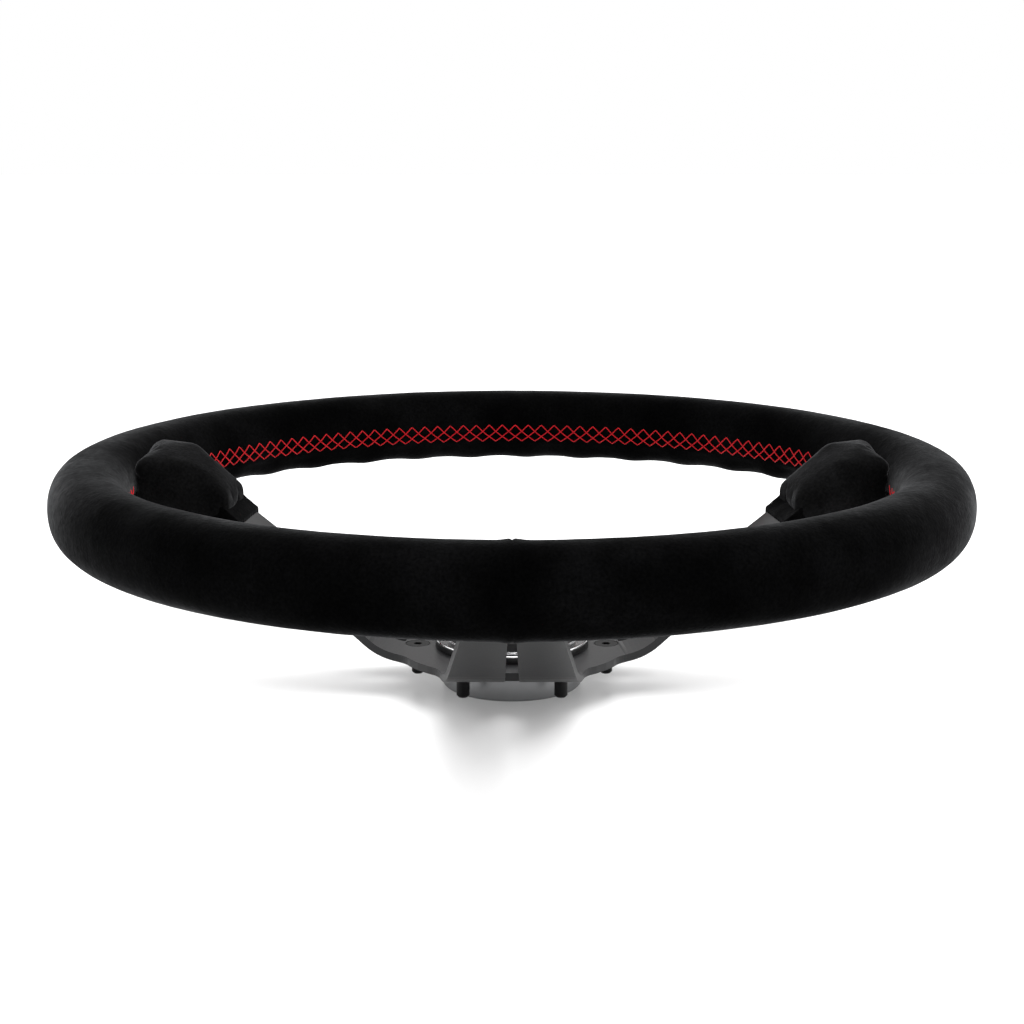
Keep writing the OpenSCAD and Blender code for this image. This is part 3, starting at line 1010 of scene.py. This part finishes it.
@dataclass
class HornButton:
    """The bezel, the sprung cap and the contacts."""

    edge: float = 0.3 * MM

    def dress(self) -> None:
        """Gives each part its finish."""
        dress("trim_ring", Finish.POLISHED, 0.1 * MM)
        dress("horn_bezel", Finish.HOUSING, self.edge)
        dress("horn_base", Finish.CAP)
        dress("horn_cap", Finish.CAP, self.edge)
        dress("cap_badge", Finish.POLISHED, 0.15 * MM)
        dress("contact_ring", Finish.BRASS)
        dress("contact_pin", Finish.BRASS)
        dress("contact_plate", Finish.BRASS)
        dress("horn_spring", Finish.WIRE)


# ---------------------------------------------------------------- the studio


@dataclass(frozen=True)
class Lamp:
    """A soft square light: where it hangs, what it points at, its width and its power in watts."""

    name: str
    place: Place
    aim: Place
    size: float
    power: float

    def hang(self) -> None:
        """Adds the light to the scene."""
        data = bpy.data.lights.new(self.name, "AREA")
        data.size = self.size
        data.energy = self.power
        lamp = bpy.data.objects.new(self.name, data)
        lamp.location = self.place
        lamp.rotation_euler = facing(self.place, self.aim)
        bpy.context.scene.collection.objects.link(lamp)


def facing(place: Place, aim: Place) -> Euler:
    """Turns a camera or a light towards a point.

    Args:
        place: Where it is.
        aim: What it points at.

    Returns:
        Its rotation.
    """
    return (Vector(aim) - Vector(place)).to_track_quat("-Z", "Y").to_euler()


@dataclass
class Studio:
    """A flat white floor under a white world, with soft light from above, and the camera."""

    camera_place: Place = (0.0, -0.7348, 0.2216)
    aim: Place = (0.0, 0.0, 0.0687)
    lens: float = 68.06
    floor_half: float = 6.0
    floor_tone: float = 0.93
    floor_glow: float = 0.14
    lamps: tuple[Lamp, ...] = (
        Lamp("key", (0.35, 0.45, 1.5), (0, 0, 0), 1.4, 26),
        Lamp("left", (-1.5, 0.3, 0.9), (0, 0, 0.05), 1.6, 9),
        Lamp("right", (1.5, 0.1, 0.9), (0, 0, 0.05), 1.6, 10),
    )

    def build(self) -> None:
        """Sets up the camera, the floor and the lights."""
        scene = bpy.context.scene
        scene.view_settings.view_transform = "Standard"
        data = bpy.data.cameras.new("camera")
        data.lens = self.lens
        data.clip_start = 0.01
        camera = bpy.data.objects.new("camera", data)
        camera.location = self.camera_place
        camera.rotation_euler = facing(self.camera_place, self.aim)
        scene.collection.objects.link(camera)
        scene.camera = camera
        self.lay_floor()
        for lamp in self.lamps:
            lamp.hang()
        world = bpy.data.worlds.new("studio")
        world.use_nodes = True
        background = world.node_tree.nodes["Background"]
        background.inputs["Color"].default_value = (1, 1, 1, 1)
        background.inputs["Strength"].default_value = 1.0
        scene.world = world

    def lay_floor(self) -> None:
        """Lays the pale floor, slightly glossy."""
        h = self.floor_half
        floor = mesh_piece("floor", [(-h, -h, 0), (h, -h, 0), (h, h, 0), (-h, h, 0)], [(0, 1, 2, 3)])
        n = Nodes("white_floor")
        tone = self.floor_tone
        n.set(Base_Color=(tone, tone, tone, 1), Roughness=0.27, Specular_IOR_Level=0.45)
        n.set(Emission_Color=(1, 1, 1, 1), Emission_Strength=self.floor_glow)
        floor.data.materials.append(n.material)


def main() -> None:
    """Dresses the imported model, piece by piece."""
    logging.basicConfig(level=logging.INFO, format="%(name)s: %(message)s")
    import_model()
    rim = Rim()
    makers: list[Callable[[], bpy.types.Object]] = [rim.build, CrossStitch(rim).build]
    makers += [ThumbRest(side).build for side in (Side.LEFT, Side.RIGHT)]
    makers += [SpokeBoot(side).build for side in Side]
    for make in makers:
        piece = make()
        LOG.info("built %s with %d vertices", piece.name, len(piece.data.vertices))
    SpokeFrame().dress()
    QuickRelease().dress()
    HornButton().dress()
    dress("rim_core", Finish.STEEL)
    dress("rim_foam", Finish.FOAM)
    Studio().build()
    bpy.context.view_layer.update()


if __name__ == "__main__":
    main()
